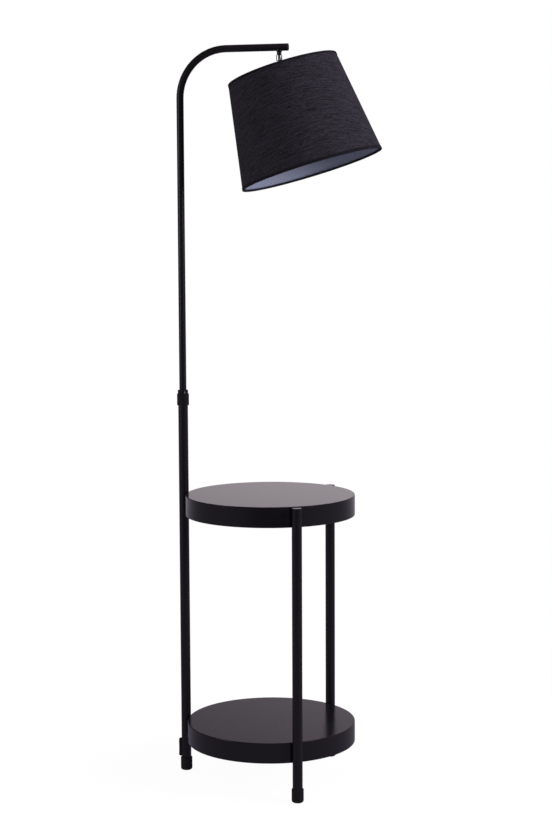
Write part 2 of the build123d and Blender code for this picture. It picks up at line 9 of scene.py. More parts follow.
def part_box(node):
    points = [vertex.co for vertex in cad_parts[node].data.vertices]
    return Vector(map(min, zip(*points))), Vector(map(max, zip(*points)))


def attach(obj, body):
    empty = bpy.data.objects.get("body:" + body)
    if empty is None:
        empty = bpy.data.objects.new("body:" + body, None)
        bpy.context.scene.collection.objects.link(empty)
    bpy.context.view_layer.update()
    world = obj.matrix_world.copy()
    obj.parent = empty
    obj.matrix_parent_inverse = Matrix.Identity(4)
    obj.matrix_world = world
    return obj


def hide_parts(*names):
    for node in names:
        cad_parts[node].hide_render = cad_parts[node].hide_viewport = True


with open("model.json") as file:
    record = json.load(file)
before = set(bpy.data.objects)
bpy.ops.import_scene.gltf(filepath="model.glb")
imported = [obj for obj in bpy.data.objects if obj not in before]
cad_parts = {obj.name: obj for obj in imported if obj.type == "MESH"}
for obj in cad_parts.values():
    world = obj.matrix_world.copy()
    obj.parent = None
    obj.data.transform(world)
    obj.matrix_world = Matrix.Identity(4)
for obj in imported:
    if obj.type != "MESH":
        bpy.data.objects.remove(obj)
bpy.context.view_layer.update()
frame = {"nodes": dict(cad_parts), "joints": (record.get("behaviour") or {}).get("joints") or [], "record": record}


# Feet
# Three slip-on caps moulded in black rubber, pushed over the ends of the pole and legs.
# The mould leaves them matt, with a fine even grain.
RUBBER_BLACK = (0.0105, 0.009, 0.0112, 1)


def add(tree, kind, inputs=None, **settings):
    """Node of one kind. Inputs are values, or sockets to link, by the socket's name or number."""
    node = tree.nodes.new(kind)
    for key, value in settings.items():
        setattr(node, key, value)
    for key, value in (inputs or {}).items():
        if isinstance(value, bpy.types.NodeSocket):
            tree.links.new(value, node.inputs[key])
        else:
            node.inputs[key].default_value = value
    return node


def finish_for(name, **constants):
    """New material, its node tree and its surface, with the constant sockets set."""
    finish = bpy.data.materials.new(name)
    finish.use_nodes = True
    surface = finish.node_tree.nodes["Principled BSDF"]
    for key, value in constants.items():
        surface.inputs[key.replace("_", " ")].default_value = value
    return finish, finish.node_tree, surface


def noise(tree, place, size, detail):
    """Even noise with spots of one size."""
    sockets = {"Vector": place, "Scale": 1 / size, "Detail": detail}
    return add(tree, "ShaderNodeTexNoise", sockets).outputs["Fac"]


def grain(tree, surface, size, bump, roughness):
    """Fine uneven skin on a surface: its grain size and depth in metres, and its roughness range."""
    place = add(tree, "ShaderNodeTexCoord").outputs["Object"]
    height = noise(tree, place, size, detail=3.0)
    gloss = {"Value": height, "To Min": roughness[0], "To Max": roughness[1]}
    spread = add(tree, "ShaderNodeMapRange", gloss)
    relief = add(tree, "ShaderNodeBump", {"Height": height, "Strength": 1.0, "Distance": bump})
    tree.links.new(spread.outputs["Result"], surface.inputs["Roughness"])
    tree.links.new(relief.outputs["Normal"], surface.inputs["Normal"])
    return place


def dress(finish, *names):
    """Give CAD nodes a finish."""
    for name in names:
        for place in frame["nodes"][name].material_slots:
            place.material = finish


rubber, tree, surface = finish_for("foot_rubber", Base_Color=RUBBER_BLACK, Specular_IOR_Level=0.35)
grain(tree, surface, size=0.0009, bump=0.00005, roughness=(0.5, 0.68))
dress(rubber, "pole_foot", "front_foot", "rear_foot")


# Pole, legs and mast
# Steel tube in a satin black powder coat. The coat flows into a shallow orange peel
# when it is baked, and the bare metal doesn't show anywhere.
COAT_BLACK = (0.0069, 0.0058, 0.0078)
COAT_GLOSS = 0.5
# The gloss tint is a painted reflection colour: it tints all that the coat mirrors, as a tinted room light would.
COAT_PAINTED_REFLECTION_TINT = (1.0, 0.92, 0.98, 1)
PEEL_SIZE = 0.0016
PEEL_DEPTH = 0.00001
FLECK_SIZE = 0.0004
FLECK_DARK = 0.8
FLECK_PALE = 1.25
WAVE_SIZE = 0.11
TUBE_WAVE = 0.00002


def blend(tree, share, first, second):
    """Colour between two others. A Mix node takes colours at inputs 6 and 7, and output 2 gives one."""
    sockets = {"Factor": share, 6: first, 7: second}
    return add(tree, "ShaderNodeMix", sockets, data_type="RGBA").outputs[2]


def powder_coat(name, roughness, wave):
    """Black satin coat with its orange peel, and a slow unevenness of the metal under it."""
    coat, tree, surface = finish_for(
        name, Specular_IOR_Level=COAT_GLOSS, Specular_Tint=COAT_PAINTED_REFLECTION_TINT
    )
    place = grain(tree, surface, PEEL_SIZE, PEEL_DEPTH, roughness)
    fleck = noise(tree, place, FLECK_SIZE, detail=2.0)
    dark = (*[value * FLECK_DARK for value in COAT_BLACK], 1)
    pale = (*[value * FLECK_PALE for value in COAT_BLACK], 1)
    tree.links.new(blend(tree, fleck, dark, pale), surface.inputs["Base Color"])
    peel = surface.inputs["Normal"].links[0].from_node
    slow = noise(tree, place, WAVE_SIZE, detail=1.0)
    metal = add(tree, "ShaderNodeBump", {"Height": slow, "Distance": wave})
    tree.links.new(metal.outputs["Normal"], peel.inputs["Normal"])
    return coat


tube_coat = powder_coat("tube_coat", roughness=(0.26, 0.34), wave=TUBE_WAVE)
dress(tube_coat, "pole", "front_leg", "rear_leg", "mast_tube")


# Tray and shelf
# Two steel pans, pressed from one sheet each with a flat top and a deep turned-down wall.
# They carry the same black coat, laid on smoother, so their tops mirror what is behind them.
PAN_WAVE = 0.00006
pan_coat = powder_coat("pan_coat", roughness=(0.16, 0.22), wave=PAN_WAVE)
dress(pan_coat, "tray", "shelf")


# Plugs, collar, cord outlet, arm cap, holder and its ring nut
# Mouldings in black plastic with the fine spark grain of a steel mould, a little softer in
# gloss than the coat beside them. Only the two leg plugs are polished.
PLASTIC_BLACK = (0.0084, 0.0073, 0.0091, 1)
# The gloss tint is a painted reflection colour: it tints all that the plastic mirrors, as a tinted room light
# would.
PLASTIC_PAINTED_REFLECTION_TINT = (1.0, 0.87, 1.0, 1)
plastic, tree, surface = finish_for(
    "black_plastic",
    Base_Color=PLASTIC_BLACK,
    Specular_IOR_Level=0.35,
    Specular_Tint=PLASTIC_PAINTED_REFLECTION_TINT,
)
grain(tree, surface, size=0.0006, bump=0.00002, roughness=(0.48, 0.6))
dress(plastic, "cord_outlet", "twist_collar", "arm_cap", "holder_cap", "holder_body", "shade_nut")
polished, tree, surface = finish_for(
    "polished_plastic", Base_Color=PLASTIC_BLACK, Specular_IOR_Level=0.5
)
grain(tree, surface, size=0.0016, bump=0.00001, roughness=(0.16, 0.22))
dress(polished, "front_leg_plug", "rear_leg_plug")


# Screws, rivet nuts and stop ring
# Turned and headed steel, zinc plated and passivated, so it is pale and slightly blue.
# The plating leaves a slightly cloudy gloss.
ZINC = (0.52, 0.54, 0.57, 1)
zinc, tree, surface = finish_for("zinc_steel", Base_Color=ZINC, Metallic=1.0)
grain(tree, surface, size=0.0011, bump=0.00001, roughness=(0.24, 0.42))
dress(zinc, "pan_screws", "rivet_nuts", "stop_ring")


# Bushes, grommet and ball seat
# Natural nylon, moulded, with the milky look that comes from light scattering inside it.
# They sit inside the tubes and the swivel, and one bush shows through the collar's windows.
NYLON_WHITE = (0.8, 0.79, 0.76, 1)
nylon, tree, surface = finish_for("nylon", Base_Color=NYLON_WHITE, Subsurface_Weight=0.2)
grain(tree, surface, size=0.0012, bump=0.00002, roughness=(0.42, 0.55))
dress(nylon, "clamp_bush", "guide_bush", "mast_grommet", "ball_seat")


# Lead
# Two-core round lead in a black sheath, which runs up the pole, the mast and the arm.
# Its sheath is extruded, matt and slightly uneven.
SHEATH_BLACK = (0.008, 0.008, 0.0086, 1)
sheath, tree, surface = finish_for("flex_sheath", Base_Color=SHEATH_BLACK)
grain(tree, surface, size=0.0025, bump=0.00004, roughness=(0.45, 0.6))
dress(sheath, "flex_lower", "flex_upper")


# Stub and swivel
# Split cup in polished, chrome-plated brass on a gloss black stub. Its two jaws grip a gloss
# black steel ball. All have only the faintest waviness from polishing.
CHROME = (0.88, 0.88, 0.9, 1)
STEEL_BLACK = (0.007, 0.0065, 0.0076, 1)
chrome, tree, surface = finish_for("chrome", Base_Color=CHROME, Metallic=1.0)
grain(tree, surface, size=0.004, bump=0.00003, roughness=(0.06, 0.14))
dress(chrome, "swivel_cup")
# This gloss takes the coat's painted reflection tint as well.
black_steel, tree, surface = finish_for(
    "black_steel", Base_Color=STEEL_BLACK, Specular_Tint=COAT_PAINTED_REFLECTION_TINT
)
grain(tree, surface, size=0.003, bump=0.00001, roughness=(0.09, 0.14))
dress(black_steel, "hang_stub", "swivel_ball")


# Lamp holder inside
# A glazed white insert carries a brass strip, and a thin brass shell is rolled into the
# screw thread that takes the bulb. The shell is open at both ends.
GLAZE_WHITE = (0.8, 0.78, 0.73, 1)
BRASS = (0.72, 0.52, 0.23, 1)
CAP_THREAD_PITCH = 0.00362
CAP_THREAD_DEPTH = 0.001
SHELL_WALL = 0.0005
SHELL_POINTS = 97
LEAST_OPENING = 0.001
RIPPLES_ROUND = 1.6
RIPPLES_DOWN = 1.2


def node_tree(name, inputs):
    """New geometry tree with named inputs, and the ends that its nodes link to."""
    tree = bpy.data.node_groups.new(name, "GeometryNodeTree")
    tree.interface.new_socket("Geometry", in_out="INPUT", socket_type="NodeSocketGeometry")
    tree.interface.new_socket("Geometry", in_out="OUTPUT", socket_type="NodeSocketGeometry")
    for label, kind in inputs.items():
        tree.interface.new_socket(label, in_out="INPUT", socket_type=f"NodeSocket{kind}")
    return tree, add(tree, "NodeGroupInput").outputs, add(tree, "NodeGroupOutput").inputs


def calc(tree, operation, *values):
    """Result of one Math node."""
    return add(tree, "ShaderNodeMath", dict(enumerate(values)), operation=operation).outputs[0]


def scaled(tree, vector, factor):
    """Vector times a factor."""
    sockets = {0: vector, "Scale": factor}
    return add(tree, "ShaderNodeVectorMath", sockets, operation="SCALE").outputs[0]


def ease(tree, value, start, end, low=0.0, high=1.0):
    """Smooth step from low to high while a value goes from a start to an end."""
    sockets = {"Value": value, "From Min": start, "From Max": end, "To Min": low, "To Max": high}
    step = add(tree, "ShaderNodeMapRange", sockets, interpolation_type="SMOOTHSTEP")
    return step.outputs["Result"]


def grow(name, tree, values):
    """Plain mesh object made by a geometry tree, with the tree's inputs set by their names."""
    piece = bpy.data.objects.new(name, bpy.data.meshes.new(name))
    bpy.context.scene.collection.objects.link(piece)
    modifier = piece.modifiers.new("grow", "NODES")
    modifier.node_group = tree
    for socket in tree.interface.items_tree:
        if socket.name in values:
            modifier[socket.identifier] = values[socket.name]
    ready = bpy.context.evaluated_depsgraph_get()
    mesh = bpy.data.meshes.new_from_object(
        piece.evaluated_get(ready), preserve_all_data_layers=True, depsgraph=ready
    )
    piece.modifiers.remove(modifier)
    piece.data = mesh
    mesh.name = name
    return piece


def wrapped_sheet():
    """Tree that rolls a flat sheet into a cone, with a lapped seam or a screw thread in its wall."""
    tree, given, result = node_tree(
        "wrapped_sheet",
        {
            "Top radius": "Float",
            "Bottom radius": "Float",
            "Top": "Float",
            "Bottom": "Float",
            "Seam angle": "Float",
            "Lap": "Float",
            "Lap step": "Float",
            "Thread depth": "Float",
            "Thread pitch": "Float",
            "Unevenness": "Float",
            "Grain angle": "Float",
            "Weft bow": "Float",
            "Around": "Int",
            "Along": "Int",
            "Finish": "Material",
        },
    )
    sheet = add(
        tree,
        "GeometryNodeMeshGrid",
        {"Size X": 1.0, "Size Y": 1.0, "Vertices X": given["Around"], "Vertices Y": given["Along"]},
    )
    position = add(tree, "GeometryNodeInputPosition").outputs[0]
    flat = add(tree, "ShaderNodeSeparateXYZ", {0: position}).outputs
    across = calc(tree, "ADD", flat["X"], 0.5)
    down = calc(tree, "ADD", flat["Y"], 0.5)
    flare = calc(tree, "SUBTRACT", given["Bottom radius"], given["Top radius"])
    cone = calc(tree, "MULTIPLY_ADD", down, flare, given["Top radius"])
    drop = calc(tree, "SUBTRACT", given["Bottom"], given["Top"])
    height = calc(tree, "MULTIPLY_ADD", down, drop, given["Top"])
    over = calc(tree, "DIVIDE", given["Lap"], given["Bottom radius"])
    turn = calc(tree, "MULTIPLY_ADD", across, calc(tree, "ADD", over, 2 * pi), given["Seam angle"])
    # Laid flat, the sheet is a sector of a ring. Its yarns run across that sector with a bow.
    squares = calc(tree, "ADD", calc(tree, "POWER", flare, 2.0), calc(tree, "POWER", drop, 2.0))
    opening = calc(tree, "DIVIDE", flare, calc(tree, "SQRT", squares))
    from_apex = calc(tree, "DIVIDE", cone, calc(tree, "MAXIMUM", opening, LEAST_OPENING))
    off_grain = calc(tree, "SUBTRACT", turn, given["Grain angle"])
    swing = calc(tree, "MULTIPLY", off_grain, opening)
    straight = calc(tree, "MULTIPLY", from_apex, calc(tree, "COSINE", swing))
    aside = calc(tree, "SUBTRACT", 1.0, calc(tree, "COSINE", off_grain))
    bow = calc(tree, "MULTIPLY", aside, given["Weft bow"])
    flat_place = {
        "X": calc(tree, "MULTIPLY", from_apex, calc(tree, "SINE", swing)),
        "Y": calc(tree, "SUBTRACT", straight, calc(tree, "MULTIPLY", bow, cone)),
    }
    # The last stretch of the sheet climbs on to its first, and lies there one thickness out.
    ahead = calc(tree, "DIVIDE", over, 2 * pi)
    foot_of_climb = calc(tree, "SUBTRACT", 1.0, calc(tree, "MULTIPLY", ahead, 2.0))
    top_of_climb = calc(tree, "SUBTRACT", 1.0, ahead)
    climb = ease(tree, across, foot_of_climb, top_of_climb, high=given["Lap step"])
    rise = calc(tree, "DIVIDE", height, given["Thread pitch"])
    phase = calc(tree, "SUBTRACT", calc(tree, "MULTIPLY", rise, 2 * pi), turn)
    thread = calc(tree, "MULTIPLY", calc(tree, "SUBTRACT", calc(tree, "COSINE", phase), 1.0), 0.5)
    heading = {"X": calc(tree, "COSINE", turn), "Y": calc(tree, "SINE", turn)}
    outward = add(tree, "ShaderNodeCombineXYZ", heading).outputs[0]
    ripples = {
        "Vector": scaled(tree, outward, RIPPLES_ROUND),
        "W": calc(tree, "MULTIPLY", down, RIPPLES_DOWN),
        "Scale": 1.0,
        "Detail": 1.0,
    }
    ripple = add(tree, "ShaderNodeTexNoise", ripples, noise_dimensions="4D").outputs["Fac"]
    swell = calc(tree, "MULTIPLY", calc(tree, "SUBTRACT", ripple, 0.5), given["Unevenness"])
    lapped = calc(tree, "ADD", cone, climb)
    radius = calc(tree, "MULTIPLY_ADD", thread, given["Thread depth"], lapped)
    radius = calc(tree, "ADD", radius, swell)
    level = scaled(tree, outward, radius)
    lift = add(tree, "ShaderNodeCombineXYZ", {"Z": height}).outputs[0]
    woven = add(
        tree,
        "GeometryNodeStoreNamedAttribute",
        {
            "Geometry": sheet.outputs["Mesh"],
            "Name": "weave",
            "Value": add(tree, "ShaderNodeCombineXYZ", flat_place).outputs[0],
        },
        data_type="FLOAT2",
        domain="CORNER",
    )
    place = add(tree, "ShaderNodeVectorMath", {0: level, 1: lift}, operation="ADD")
    rolled = add(
        tree,
        "GeometryNodeSetPosition",
        {"Geometry": woven.outputs["Geometry"], "Position": place.outputs[0]},
    )
    outward_faces = add(tree, "GeometryNodeFlipFaces", {"Mesh": rolled.outputs[0]})
    smooth = add(tree, "GeometryNodeSetShadeSmooth", {"Geometry": outward_faces.outputs[0]})
    whole = add(tree, "GeometryNodeRealizeInstances", {"Geometry": smooth.outputs[0]})
    coloured = add(
        tree,
        "GeometryNodeSetMaterial",
        {"Geometry": whole.outputs[0], "Material": given["Finish"]},
    )
    tree.links.new(coloured.outputs[0], result["Geometry"])
    return tree


def thicken(piece, wall):
    """Give a sheet its wall, which grows from its outer face towards the axis."""
    shell = piece.modifiers.new("wall", "SOLIDIFY")
    shell.thickness = wall
    shell.offset = -1
    shell.use_even_offset = True


def head_place():
    """Place of the shade's own frame: its origin in the ball, with Z up the shade's axis."""
    tilt = next(joint for joint in frame["joints"] if joint["name"] == "shade_tilt")
    mounts = frame["record"]["mounts"]
    socket = next(mount for mount in mounts if mount["name"] == "lamp_socket")
    up = -Vector(socket["axis"]).normalized()
    side = Vector((0, 1, 0))
    front = side.cross(up)
    turned = Matrix((front, side, up)).transposed().to_4x4()
    return Matrix.Translation(Vector(tilt["pos_m"])) @ turned


def turned_size(name):
    """Radius and height of each point of a turned CAD node, in the shade's own frame."""
    corners = frame["nodes"][name].data.vertices
    points = np.array([HEAD.inverted() @ corner.co for corner in corners])
    return np.hypot(points[:, 0], points[:, 1]), points[:, 2]


HEAD = head_place()
SHEET = wrapped_sheet()
glaze, tree, surface = finish_for("holder_ceramic", Base_Color=GLAZE_WHITE, Coat_Weight=0.4)
grain(tree, surface, size=0.003, bump=0.00003, roughness=(0.14, 0.24))
dress(glaze, "holder_core")

brass, tree, surface = finish_for("contact_brass", Base_Color=BRASS, Metallic=1.0)
grain(tree, surface, size=0.0014, bump=0.00001, roughness=(0.2, 0.36))
dress(brass, "centre_contact")

shell_radii, shell_heights = turned_size("screw_shell")
screw_shell = grow(
    "threaded_shell",
    SHEET,
    {
        "Top radius": float(shell_radii.min()) + SHELL_WALL,
        "Bottom radius": float(shell_radii.min()) + SHELL_WALL,
        "Top": float(shell_heights.max()),
        "Bottom": float(shell_heights.min()),
        "Thread depth": CAP_THREAD_DEPTH,
        "Thread pitch": CAP_THREAD_PITCH,
        "Around": SHELL_POINTS,
        "Along": SHELL_POINTS,
        "Finish": brass,
    },
)
screw_shell.data.transform(HEAD)
thicken(screw_shell, SHELL_WALL)
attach(screw_shell, "head")
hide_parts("screw_shell")


# Shade frame
# Steel wire, welded and dipped in white: three spokes run from a washer at the holder up to
# the top rim's ring, and a second ring stiffens the lower rim.
WIRE_WHITE = (0.7, 0.7, 0.7, 1)
wire, tree, surface = finish_for("wire_white", Base_Color=WIRE_WHITE)
grain(tree, surface, size=0.002, bump=0.00004, roughness=(0.3, 0.42))
dress(wire, "shade_spider", "bottom_ring")


# Shade lining
# Pale styrene sheet, rolled into a cone and lapped, on which the cover is laid.
# It has a soft sheen, and its lap shows as a faint upright line inside the shade.
# The pale sheet is coloured darker and bluer than it is: painted shade inside the shade and a painted cool light.
PAINTED_SHADE_LINER_BLUE = (0.31, 0.331, 0.467, 1)
LINING_WALL = 0.0004
LINING_LAP = 0.012
LINING_AROUND = 289
LINING_ALONG = 33
SEAM_ANGLE = radians(60)
RIM_BAND = 0.001
RIM_EASE = 0.0006


def cone_size(name):
    """Outer radius of a CAD cone at its top and its bottom, and the heights of both."""
    radii, heights = turned_size(name)
    top = heights.max()
    bottom = heights.min()
    top_radius = radii[heights > top - RIM_BAND].max()
    bottom_radius = radii[heights < bottom + RIM_BAND].max()
    return float(top_radius), float(bottom_radius), float(top), float(bottom)


liner, tree, surface = finish_for("shade_liner", Base_Color=PAINTED_SHADE_LINER_BLUE, Specular_IOR_Level=0.4)
grain(tree, surface, size=0.006, bump=0.00004, roughness=(0.42, 0.52))
lining_top, lining_bottom, lining_high, lining_low = cone_size("shade_lining")
lining = grow(
    "lining_sheet",
    SHEET,
    {
        "Top radius": lining_top - LINING_WALL,
        "Bottom radius": lining_bottom - LINING_WALL,
        "Top": lining_high - RIM_EASE,
        "Bottom": lining_low + RIM_EASE,
        "Seam angle": SEAM_ANGLE,
        "Lap": LINING_LAP,
        "Lap step": LINING_WALL,
        "Around": LINING_AROUND,
        "Along": LINING_ALONG,
        "Finish": liner,
    },
)
lining.data.transform(HEAD)
thicken(lining, LINING_WALL)
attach(lining, "head")
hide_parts("shade_lining")


# Shade cover
# Black slub cloth with a thick and thin weft, laid on the lining. It was cut as a sector of a
# ring, so the weft slants across the shade with a bow, and its two ends are lapped and glued.
CLOTH_DARK = (0.0152, 0.013, 0.0183)
CLOTH_PALE = (0.0575, 0.0504, 0.0709)
CLOTH_WALL = 0.0007
COVER_LAP = 0.015
COVER_RIPPLE = 0.0004
COVER_AROUND = 361
COVER_ALONG = 49
GRAIN_ANGLE = radians(288)
WEFT_BOW = 0.24
YARN = 0.00048
SLUB_LENGTH = 0.042
SLUB_WIDTH = 0.0026
SLUB_SHARE = 0.2
THREAD_LENGTH = 0.036
THREAD_WIDTH = 0.0013
THREAD_SHARE = 0.35
WEFT_LENGTH = 0.01
WEFT_WIDTH = 0.0009
WEFT_SHARE = 0.55
WARP_LENGTH = 0.008
WARP_WIDTH = 0.001
WARP_SHARE = 0.4
TONE_SPAN = (0.53, 0.97)
GAP_LENGTH = 0.045
GAP_WIDTH = 0.0022
GAP_SPAN = (0.36, 0.26)
GAP_SHADE_DEPTH = 0.65
CROSSING_PAINTED_SHADE = 0.3
CROSSING_RELIEF = 0.35
THREAD_RELIEF = 0.9
RELIEF_DEPTH = 0.0002


def slub_cloth(name, dark, pale, reach):
    """Plain weave of two yarns, with slubs in the weft. Reach shortens the slubs on a narrow strip."""
    cloth, tree, surface = finish_for(
        name, Roughness=0.9, Specular_IOR_Level=0.15, Sheen_Weight=0.01, Sheen_Roughness=0.5
    )
    place = add(tree, "ShaderNodeUVMap", uv_map="weave").outputs["UV"]
    along = add(tree, "ShaderNodeSeparateXYZ", {0: place}).outputs

    def strokes(along_weft, along_warp, detail):
        """Noise drawn out on the flat cloth to strokes of one size."""
        scale = (1 / along_weft, 1 / along_warp, 1)
        drawn = add(tree, "ShaderNodeMapping", {"Vector": place, "Scale": scale}).outputs[0]
        sockets = {"Vector": drawn, "Scale": 1.0, "Detail": detail, "Roughness": 0.6}
        return add(tree, "ShaderNodeTexNoise", sockets, noise_dimensions="2D").outputs["Fac"]

    slub = strokes(SLUB_LENGTH * reach, SLUB_WIDTH, detail=0.0)
    thread = strokes(THREAD_LENGTH * reach, THREAD_WIDTH, detail=1.0)
    weft_grain = strokes(WEFT_LENGTH, WEFT_WIDTH, detail=1.0)
    warp_grain = strokes(WARP_WIDTH, WARP_LENGTH, detail=1.0)
    mixed = calc(tree, "MULTIPLY", slub, SLUB_SHARE)
    mixed = calc(tree, "ADD", mixed, calc(tree, "MULTIPLY", thread, THREAD_SHARE))
    mixed = calc(tree, "MULTIPLY_ADD", weft_grain, WEFT_SHARE, mixed)
    mixed = calc(tree, "MULTIPLY_ADD", warp_grain, WARP_SHARE, mixed)
    tone = ease(tree, mixed, *TONE_SPAN)
    # Here and there two weft yarns lie apart, and the shade in the gap between them is painted as a thin dark
    # line.
    gap_shade = ease(tree, strokes(GAP_LENGTH * reach, GAP_WIDTH, detail=0.0), *GAP_SPAN)
    gap_shade = calc(tree, "MULTIPLY", gap_shade, GAP_SHADE_DEPTH)
    tone = calc(tree, "MULTIPLY", tone, calc(tree, "SUBTRACT", 1.0, gap_shade))
    weft = calc(tree, "SINE", calc(tree, "MULTIPLY", along["Y"], pi / YARN))
    warp = calc(tree, "SINE", calc(tree, "MULTIPLY", along["X"], pi / YARN))
    crossing = calc(tree, "MULTIPLY", weft, warp)
    # Where the weave's crossings stand up they are painted lighter, and where they sink darker: painted light and
    # shade on the weave's relief.
    tone = calc(tree, "MULTIPLY", tone, calc(tree, "MULTIPLY_ADD", crossing, CROSSING_PAINTED_SHADE, 1.0))
    colour = blend(tree, tone, (*dark, 1), (*pale, 1))
    raised = calc(tree, "MULTIPLY", thread, THREAD_RELIEF)
    raised = calc(tree, "MULTIPLY_ADD", crossing, CROSSING_RELIEF, raised)
    bumps = {"Height": raised, "Distance": RELIEF_DEPTH, "Strength": 0.8}
    relief = add(tree, "ShaderNodeBump", bumps)
    tree.links.new(colour, surface.inputs["Base Color"])
    tree.links.new(relief.outputs["Normal"], surface.inputs["Normal"])
    return cloth


cloth = slub_cloth("shade_fabric", CLOTH_DARK, CLOTH_PALE, reach=1.0)
cover_top, cover_bottom, cover_high, cover_low = cone_size("shade_cover")
cover = grow(
    "cover_cloth",
    SHEET,
    {
        "Top radius": cover_top - COVER_RIPPLE / 2,
        "Bottom radius": cover_bottom - COVER_RIPPLE / 2,
        "Top": cover_high - RIM_EASE,
        "Bottom": cover_low + RIM_EASE,
        "Seam angle": SEAM_ANGLE,
        "Lap": COVER_LAP,
        "Lap step": CLOTH_WALL,
        "Unevenness": COVER_RIPPLE,
        "Grain angle": GRAIN_ANGLE,
        "Weft bow": WEFT_BOW,
        "Around": COVER_AROUND,
        "Along": COVER_ALONG,
        "Finish": cloth,
    },
)
cover.data.transform(HEAD)
thicken(cover, CLOTH_WALL)
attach(cover, "head")
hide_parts("shade_cover")


# Rim bindings
# Strips of the same cloth, cut narrow and folded over each rim and its wire, then glued.
# The fold is round, and the strip is painted darker than the cover, as painted shade in the folds at the rims.
SHADED_BINDING_DARK = (0.0114, 0.0097, 0.0141)
SHADED_BINDING_PALE = (0.024, 0.0207, 0.0294)
BINDING_REACH = 0.5
STRIP = 0.0005
STRIP_AROUND = 240
FOLD_STEPS = 16
CLOTH_BEND = 0.0011
WIRE_BEND = 0.002
INNER_LEG = 0.0042
EDGE_BAND = 0.0003


def rim_strip(name, outline, finish):
    """Strip turned about the shade's axis from a closed outline of (radius, height) points."""
    ring = np.array(outline)
    count = len(ring)
    lengths = np.hypot(*(np.roll(ring, -1, axis=0) - ring).T)
    along = np.concatenate(([0], np.cumsum(lengths)))
    angles = np.arange(STRIP_AROUND) * 2 * pi / STRIP_AROUND
    points = [(r * cos(a), r * sin(a), z) for a in angles for r, z in ring]
    faces = []
    weave = []
    for step in range(STRIP_AROUND):
        start = step * count
        end = (step + 1) % STRIP_AROUND * count
        u = np.array([step, step + 1, step + 1, step]) * 2 * pi / STRIP_AROUND * ring[0][0]
        for spot in range(count):
            ahead = (spot + 1) % count
            faces.append((start + spot, end + spot, end + ahead, start + ahead))
            v = along[[spot, spot, spot + 1, spot + 1]]
            weave.extend(zip(u, v))
    mesh = bpy.data.meshes.new(name)
    mesh.from_pydata(points, [], faces)
    layer = mesh.uv_layers.new(name="weave")
    layer.data.foreach_set("uv", np.array(weave).ravel())
    mesh.polygons.foreach_set("use_smooth", [True] * len(mesh.polygons))
    mesh.materials.append(finish)
    mesh.transform(HEAD)
    strip = bpy.data.objects.new(name, mesh)
    bpy.context.scene.collection.objects.link(strip)
    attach(strip, "head")
    return strip


def folded(name, rim_up):
    """Outline of a strip folded over a rim: outer leg, two rounded corners and inner leg."""
    radii, heights = turned_size(name)
    rim = heights.max() if rim_up else heights.min()
    hem = heights.min() if rim_up else heights.max()
    side = 1 if rim_up else -1
    inner_hem = rim - side * INNER_LEG
    at_rim = abs(heights - rim) < EDGE_BAND
    at_hem = abs(heights - hem) < EDGE_BAND
    outer = radii[at_rim].max()
    inner = radii[at_rim].min()
    lean = (radii[at_hem].max() - outer) / (hem - rim)

    def face(inset):
        """One face of the strip, from the outer hem to the inner one."""
        line = [(outer - inset, hem)]
        for a in np.linspace(0, pi, FOLD_STEPS):
            bend = CLOTH_BEND if a < pi / 2 else WIRE_BEND
            middle = outer - bend if a < pi / 2 else inner + bend
            turned = bend - inset
            line.append((middle + turned * cos(a), rim - side * (bend - turned * sin(a))))
        line.append((inner + inset, inner_hem))
        return [(radius + lean * (height - rim), height) for radius, height in line]

    outline = face(0) + face(STRIP)[::-1]
    return outline if rim_up else outline[::-1]


shaded_binding_cloth = slub_cloth("shaded_binding_fabric", SHADED_BINDING_DARK, SHADED_BINDING_PALE, BINDING_REACH)
top_strip = rim_strip("top_rim_strip", folded("top_binding", True), shaded_binding_cloth)
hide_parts("top_binding")
bottom_strip = rim_strip("bottom_rim_strip", folded("bottom_binding", False), shaded_binding_cloth)
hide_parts("bottom_binding")


# Floor
# Plain pale floor. The camera sees it white with the lamp's soft shadow. For the coat's mirror
# it glows with painted light and shade: dim round the lamp, darkest in front and brighter towards the backdrop.
BACKDROP_TURN = radians(13.66)
BACKDROP_WAY = (-sin(BACKDROP_TURN), cos(BACKDROP_TURN), 0)
FLOOR_SIZE = 16.0
FLOOR_PALE = (0.25, 0.25, 0.25, 1)
MIRRORED_GLOW_TINT = (1.0, 0.92, 1.2, 1)
MIRRORED_GLOW_DIM = 0.19
TABLE_X = 0.2
SHADOW_SHARE = 0.3
SHADOW_REACH = (0.35, 1.3)
SHADOW_MAKE_UP = 1.25
# The mirrored glow is painted darkest round a spot on the floor in front of the lamp, as painted shade of a dark
# room.
FRONT_OFF = 4
FRONT_SPOT = (TABLE_X + FRONT_OFF * sin(BACKDROP_TURN), -FRONT_OFF * cos(BACKDROP_TURN), 0)
FRONT_REACH = (1.0, 2.8)
FRONT_PAINTED_SHADE = 0.05
FAR_GLOW_TINT = (1.0, 0.91, 0.97, 1)
FAR_REACH = (1.5, 5.0)
FAR_PAINTED_GLOW = 0.5
WHITE = (1, 1, 1, 1)


def measure(tree, operation, first, second):
    """Number that a vector operation gives for two vectors."""
    both = {0: first, 1: second}
    return add(tree, "ShaderNodeVectorMath", both, operation=operation).outputs["Value"]


bpy.ops.mesh.primitive_plane_add(size=FLOOR_SIZE)
floor = bpy.context.object
floor.name = "floor"
floor_paint = bpy.data.materials.new("floor_paint")
floor_paint.use_nodes = True
tree = floor_paint.node_tree
tree.nodes.clear()
rays = add(tree, "ShaderNodeLightPath").outputs
place = add(tree, "ShaderNodeTexCoord").outputs["Object"]
from_table = measure(tree, "DISTANCE", place, (TABLE_X, 0, 0))
share = ease(tree, from_table, *SHADOW_REACH, low=SHADOW_SHARE, high=0.0)
pale = add(tree, "ShaderNodeBsdfDiffuse", {"Color": FLOOR_PALE}).outputs[0]
from_front = measure(tree, "DISTANCE", place, FRONT_SPOT)
